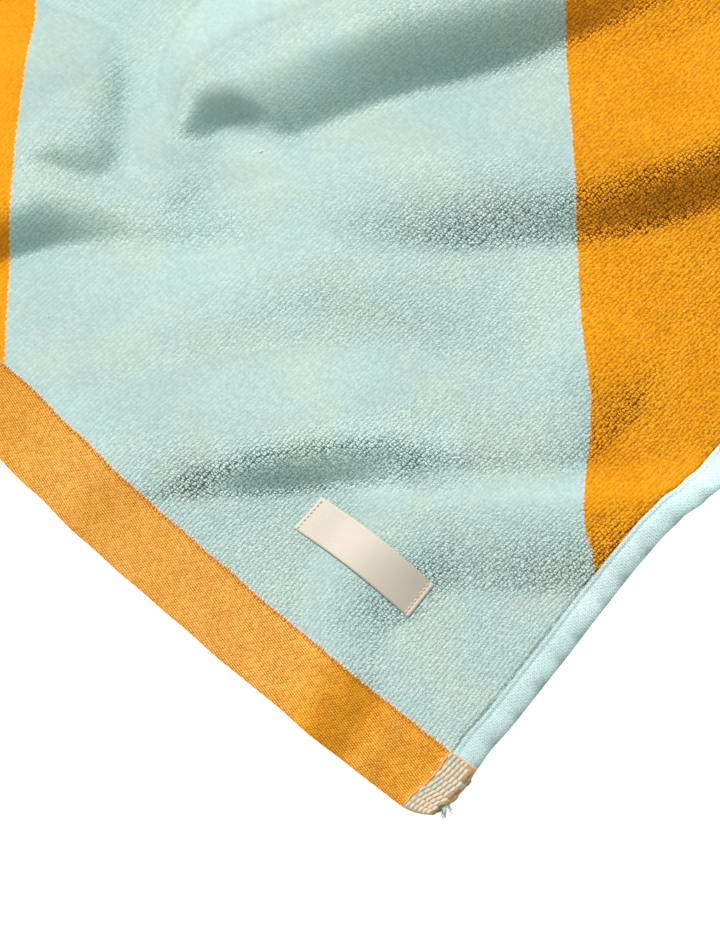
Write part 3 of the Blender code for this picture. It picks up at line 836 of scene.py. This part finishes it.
edge_loops = Threads(6)
for side in (0, 1):
    at = END_HEM_W + 1.2
    while at < L - END_HEM_W - 1.0:
        length = rng.uniform(1.3, 2.1)
        d = SIDE_HEM_W + rng.uniform(0.25, 0.7)
        s0 = d if side == 0 else W - d
        lean_in = rng.uniform(-0.35, 0.35)
        z = rng.uniform(-0.9, -0.35) / 1000
        if orange_at(s0, at + length / 2):
            z -= 0.00045
        edge_loops.add(on_top([s0 - lean_in, s0, s0 + lean_in], [at, at + length / 2, at + length], z), 0.00048,
                       rng.uniform(0.0, 0.6))
        at += length + rng.uniform(0.0, 0.45)

seam = Threads(5)
for side in (0, 1):
    at = END_HEM_W + 1.5
    while at < L - END_HEM_W - 2.0:
        d = SEAM_AT + rng.uniform(-0.08, 0.08)
        s0 = d if side == 0 else W - d
        seam.add(on_top([s0, s0, s0], [at, at + 0.75, at + 1.5], np.array([-0.00012, 0.00004, -0.00012])), 0.00016,
                 rng.uniform(0.0, 0.35))
        at += rng.uniform(2.1, 2.5)
hem_seam = seam.build("hem_stitches", aqua_thread)

border = Threads(5)
for side in (0, 1):
    at = SIDE_HEM_W + 2.4
    while at < W - SIDE_HEM_W - 2.4:
        d = END_HEM_W + rng.uniform(-0.1, 0.5)
        t0 = d if side == 0 else L - d
        lengthwise = rng.uniform(0.4, 1.4)
        slant = rng.uniform(-0.8, 0.8)
        border.add(on_top([at - slant / 2, at, at + slant / 2], [t0 - lengthwise / 2, t0, t0 + lengthwise / 2],
                          np.array([0.0, 0.00015, 0.0])), rng.uniform(0.00022, 0.00038), rng.uniform(0.0, 0.75))
        at += rng.uniform(0.8, 2.0)
hem_border = border.build("end_hem_stitches", fringe_thread)

# ---------------------------------------------------------------- corners, label, lint

beads = Threads(8)
rim_beads = Threads(8)
cords = Threads(6)
for flip_s in (False, True):
    for flip_t in (False, True):
        def at_corner(s, t, lift=0.0):
            s, t = np.asarray(s, float), np.asarray(t, float)
            return on_top(W - s if flip_s else s, L - t if flip_t else t, lift)

        for n in range(-14, 14):
            for m in range(-13, 2):
                s0 = 12.9 - (n * 1.97 + m * 0.66) + rng.uniform(-0.12, 0.12)
                t0 = 30.0 + n * 0.14 + m * 3.09 + rng.uniform(-0.15, 0.15)
                if not (0.35 < s0 < 13.3 and 1.3 < t0 < 30.6):
                    continue
                half = rng.uniform(1.25, 1.45)
                tilt = 0.12
                aqua_side = s0 > 11.0 or (s0 > 8.5 and rng.random() < 0.35) or rng.random() < 0.12
                tint = rng.uniform(0.0, 0.35) if aqua_side else rng.uniform(0.50, 1.0)
                a = np.array([-half, -half * 0.4, half * 0.4, half])
                # Beads near the outer edge take the dark thread: painted shade on the rolled side.
                kind_of = rim_beads if s0 < 2.4 else beads
                kind_of.add(at_corner(np.clip(s0 + tilt * a, 0.05, 14), np.clip(t0 - a, 0.2, 31.5),
                                      np.array([-0.00035, -0.00005, -0.00005, -0.00035])), 0.00084, tint, 0.75)
        for s0, tint, r in ((14.1, 0.35, 0.00042), (14.9, 0.05, 0.00030)):
            t1 = np.linspace(1.5, 30.6, 40)
            cords.add(at_corner(s0 + 0.15 * np.sin(t1 * 1.3), t1, 0.00012), r, tint)
        s1 = np.linspace(0.8, 14.0, 22)
        cords.add(at_corner(s1, 31.0 + 0.12 * np.sin(s1 * 1.9), 0.00020), 0.00045, 0.45)
        for k in range(4):
            t1 = 5.0 + 6.6 * k + np.array([0.0, 1.2, 2.4])
            cords.add(at_corner([15.3, 15.3, 15.3], t1, np.array([-0.0001, 0.00025, -0.0001])), 0.00040, 1.0)
fray = Threads(4)
for k in range(26):
    s0, t0 = rng.uniform(0.6, 4.4), rng.uniform(11.5, 17.5)
    k1 = np.linspace(0, 1, 6)
    reach_out, drop = rng.uniform(1.8, 4.2), rng.uniform(2.0, 5.5)
    us = s0 - reach_out * k1 ** 1.3 - 0.9
    vs = t0 - drop * k1 + rng.uniform(-0.5, 0.5) * k1 ** 2
    x, y = placed(us, vs)
    _, _, z0, _ = skins(np.array([s0]), np.array([t0]))
    fray.add(np.stack([x, y, np.maximum(z0 + 0.0001 - 0.0024 * k1 ** 2, 0.0004)], -1), rng.uniform(0.00014, 0.00022),
             rng.uniform(0.0, 0.8))
corner_fray = fray.build("corner_fray", aqua_thread)
corner_weave = beads.build("corner_weave", bead_thread)
corner_rim = rim_beads.build("corner_weave_edge", dark_thread)
corner_cords = cords.build("corner_threads", warm_thread)
loops = edge_loops.build("pile_edge_loops", aqua_thread)

# Label: a ribbon 61 mm by 18 mm, its two ends sewn down.
LABEL_U, LABEL_V = 93.3, 73.8
LABEL_L, LABEL_W, LABEL_T = 61.2, 17.8, 0.00045


def label_top(a, b, lift=0.0):
    """World point on the label, a along it from its left end and b across it, in millimetres."""
    f = a / LABEL_L
    u = LABEL_U + LABEL_L / 2 - a + (0.5 - b / LABEL_W) * 1.2 * (1 - f)
    v = LABEL_V + b - LABEL_W / 2 + 1.5 * np.sin(np.pi * f) + 0.4 * f
    arch = 1.1 * (1 - ((np.clip(f, 0, 0.97) - 0.48) / 0.49) ** 2)
    x, y = placed(u, v)
    z = sample(field, u, v) / 1000 + PILE_T + (0.55 + arch) / 1000 + lift
    return np.stack([x, y, z], -1)


la, lb = np.meshgrid(np.linspace(0, LABEL_L, 62), np.linspace(0, LABEL_W, 20))
upper = label_top(la, lb)
lower = label_top(la, lb, -LABEL_T)
lr, lc = la.shape
li = np.arange(lr * lc).reshape(lr, lc)
rim = np.concatenate([li[0, :], li[1:, -1], li[-1, -2::-1], li[-2:0:-1, 0]])
label_faces = np.concatenate([quads(li, True), quads(li + lr * lc, False)]).tolist()
label_faces += [(int(a), int(a + lr * lc), int(b + lr * lc), int(b)) for a, b in zip(rim, np.roll(rim, -1))]
label = piece("label_ribbon", np.concatenate([upper.reshape(-1, 3), lower.reshape(-1, 3)]), label_faces, [ribbon])
unwrap(label.data, "cloth", np.concatenate([la.ravel(), la.ravel()]), np.concatenate([lb.ravel(), lb.ravel()]))
label.data.validate()
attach(label, "root")
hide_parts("label")

sewing = Threads(6)
for a0, pitch in ((1.2, 2.05), (58.7, 2.05)):
    b0 = 0.7
    while b0 < LABEL_W - 0.8:
        b1 = b0 + pitch * 0.60
        sewing.add(label_top(np.array([a0, a0 + 0.1, a0]), np.array([b0, (b0 + b1) / 2, b1]),
                             np.array([-0.00004, 0.00020, -0.00004])), 0.00026,
                   rng.uniform(0.0, 0.30) if a0 < 30 else rng.uniform(0.0, 0.60))
        b0 += pitch
label_sewing = sewing.build("label_stitches", cream_thread)

lint = Threads(4)
for u0, v0, angle, length in ((235, 181, 1.9, 1.6), (236.5, 178, 0.4, 1.1), (262, 70, 0.7, 0.9), (52, 240, 2.4, 1.0),
                              (176, 96, 1.1, 0.8), (141, 206, 2.0, 0.9), (30, 96, 0.3, 0.8)):
    k = np.linspace(-0.5, 0.5, 4)
    u1, v1 = u0 + k * length * math.cos(angle), v0 + k * length * math.sin(angle) + 0.5 * k ** 2
    x, y = placed(u1, v1)
    z = sample(field, u1, v1) / 1000 + PILE_T + 0.0005
    lint.add(np.stack([x, y, z], -1), 0.00016, 1.0)
lint_bits = lint.build("lint", cream_thread)

extras = [loops, hem_seam, hem_border, corner_weave, corner_rim, corner_cords, corner_fray, lint_bits]
for obj in extras + [label_sewing]:
    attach(obj, "root")

# ---------------------------------------------------------------- floor, light, camera

g = Graph("pale_floor", roughness=0.9, specular=0.0)
g.shader.inputs["Base Color"].default_value = (0.9, 0.9, 0.9, 1)
g.shader.inputs["Emission Color"].default_value = (1, 1, 1, 1)
g.shader.inputs["Emission Strength"].default_value = 0.62
floor = piece("floor", [[-6, -6, -0.0002], [6, -6, -0.0002], [6, 6, -0.0002], [-6, 6, -0.0002]], [(0, 1, 2, 3)], [g.mat],
              smooth=False)

world = bpy.data.worlds.new("studio")
bpy.context.scene.world = world
world.use_nodes = True
world.node_tree.nodes["Background"].inputs["Color"].default_value = (1, 1, 1, 1)
world.node_tree.nodes["Background"].inputs["Strength"].default_value = 0.55

key = bpy.data.lights.new("key", "SUN")
key.energy = 3.4
key.angle = 0.20
lamp = bpy.data.objects.new("key", key)
azimuth, elevation = math.radians(158), math.radians(40)
lamp.rotation_euler = (math.pi / 2 - elevation, 0, azimuth + math.pi / 2)
bpy.context.scene.collection.objects.link(lamp)

scene = bpy.context.scene
scene.view_settings.view_transform = "Standard"
scene.view_settings.look = "None"
cam = bpy.data.cameras.new("camera")
cam.sensor_fit = "VERTICAL"
cam.sensor_height = 24
cam.lens = 72.9
eye = bpy.data.objects.new("camera", cam)
cx, cy = placed(119.3, 103.6)
eye.location = (cx, cy, 1.2)
eye.rotation_euler = (0, 0, math.radians(38.5))
bpy.context.scene.collection.objects.link(eye)
scene.camera = eye
